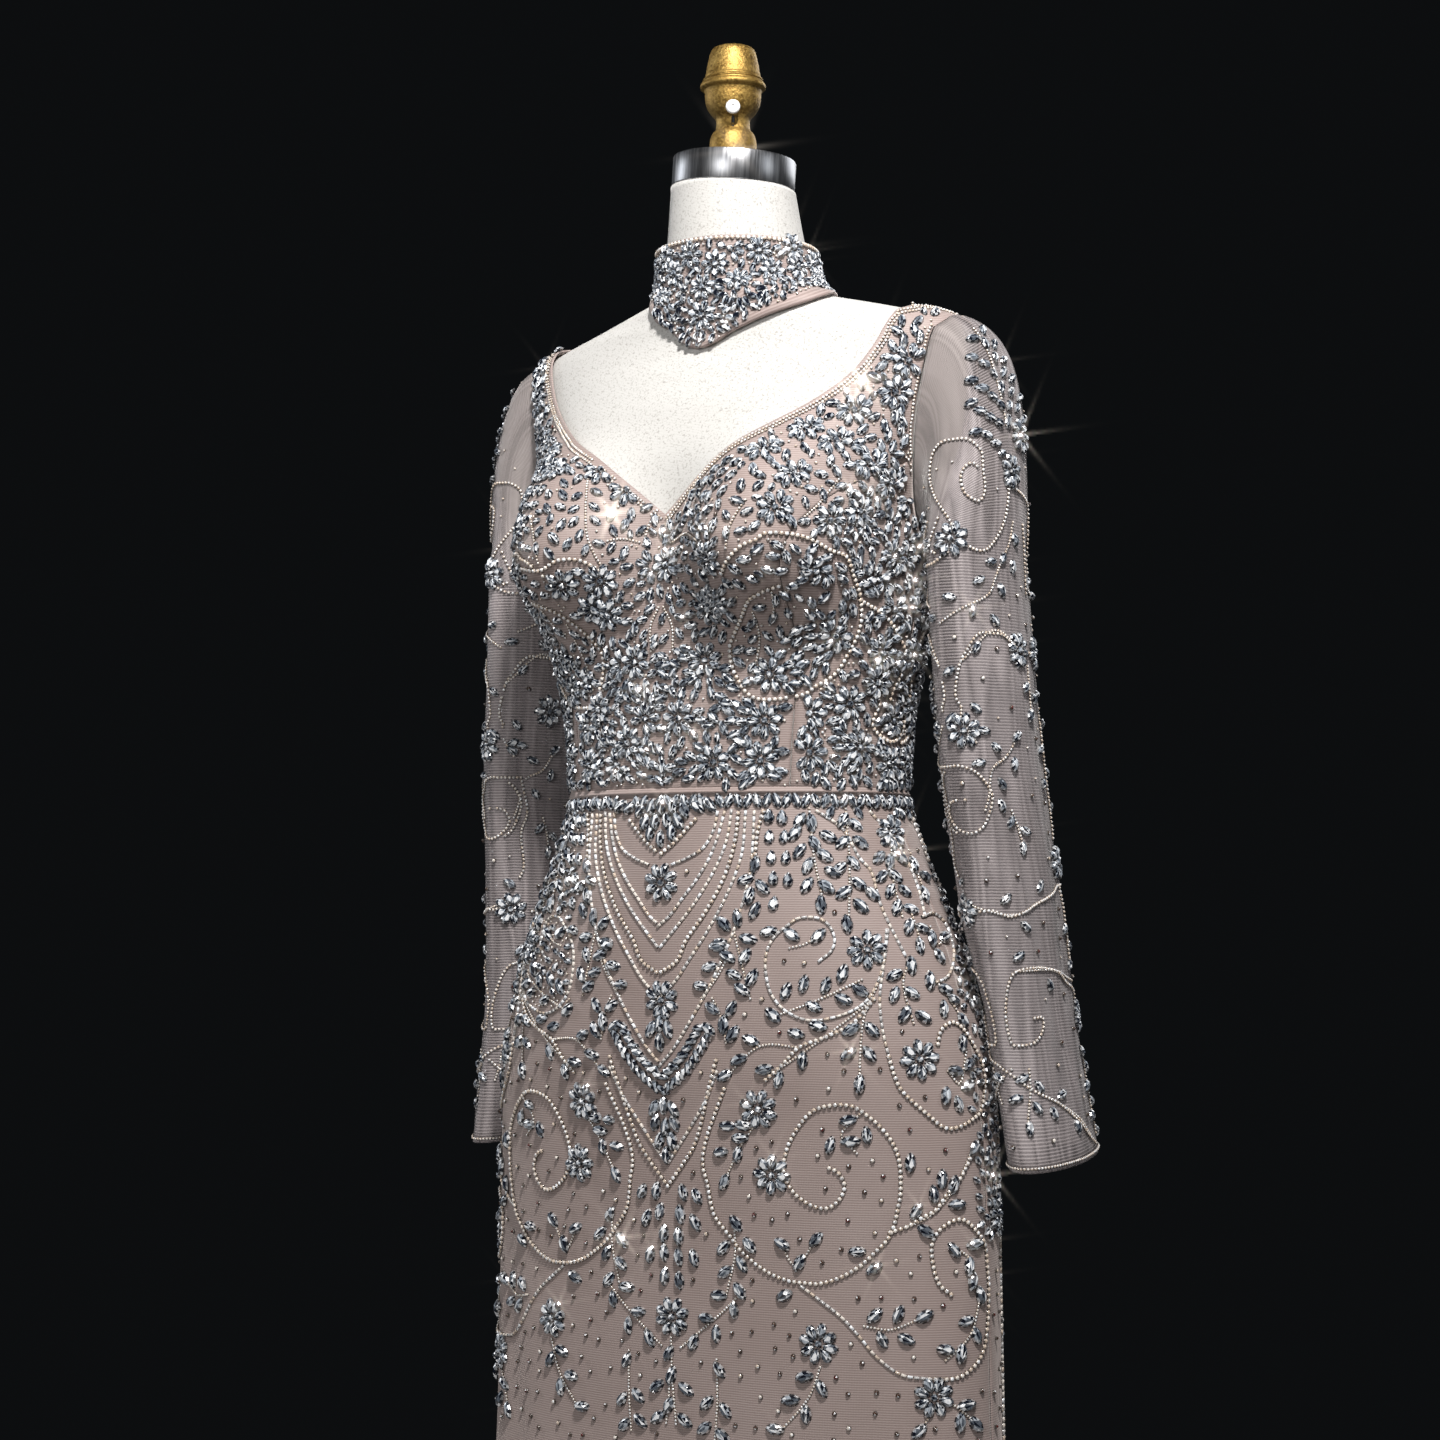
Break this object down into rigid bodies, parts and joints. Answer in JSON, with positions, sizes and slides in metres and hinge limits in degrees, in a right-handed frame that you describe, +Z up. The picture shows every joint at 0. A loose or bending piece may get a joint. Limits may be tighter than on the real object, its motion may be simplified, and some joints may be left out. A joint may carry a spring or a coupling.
{
  "type": "evening gown on a dress form",
  "caption": "Long fitted evening gown with sweetheart neckline, sheer long sleeves and a separate beaded choker, worn by a limbless dress form on a round stand.",
  "frame": {"origin": "centre of the stand base's underside, on the floor", "axes": "+Z up along the pole, -Y the gown's front, +X the wearer's left"},
  "size_m": [0.5084, 0.413, 1.6034],
  "materials": {
    "blush_mesh": "fine ribbed mesh over satin",
    "sheer_net": "sheer fine-ribbed net",
    "beaded_band": "net covered with crystals",
    "form_linen": "tight white linen over padding",
    "chrome": "brushed",
    "gold_paint": "matt gold",
    "white_plastic": "smooth",
    "black_iron": "satin black"
  },
  "bodies": {
    "root": {"bodice_front": "blush_mesh", "bodice_side_front_left": "blush_mesh", "bodice_side_front_right": "blush_mesh", "bodice_back_left": "blush_mesh", "bodice_back_right": "blush_mesh", "skirt_front": "blush_mesh", "skirt_back_left": "blush_mesh", "skirt_back_right": "blush_mesh", "waist_tape": "blush_mesh", "button_01": "blush_mesh", "button_02": "blush_mesh", "button_03": "blush_mesh", "button_04": "blush_mesh", "button_05": "blush_mesh", "button_06": "blush_mesh", "button_07": "blush_mesh", "button_08": "blush_mesh", "button_09": "blush_mesh", "button_10": "blush_mesh", "button_11": "blush_mesh", "button_12": "blush_mesh", "sleeve_left": "sheer_net", "sleeve_right": "sheer_net", "choker": "beaded_band", "form_torso": "form_linen", "neck_cap": "chrome", "stand_pole": "chrome", "finial": "gold_paint", "finial_screw": "white_plastic", "stand_base": "black_iron"}
  },
  "joints": []
}
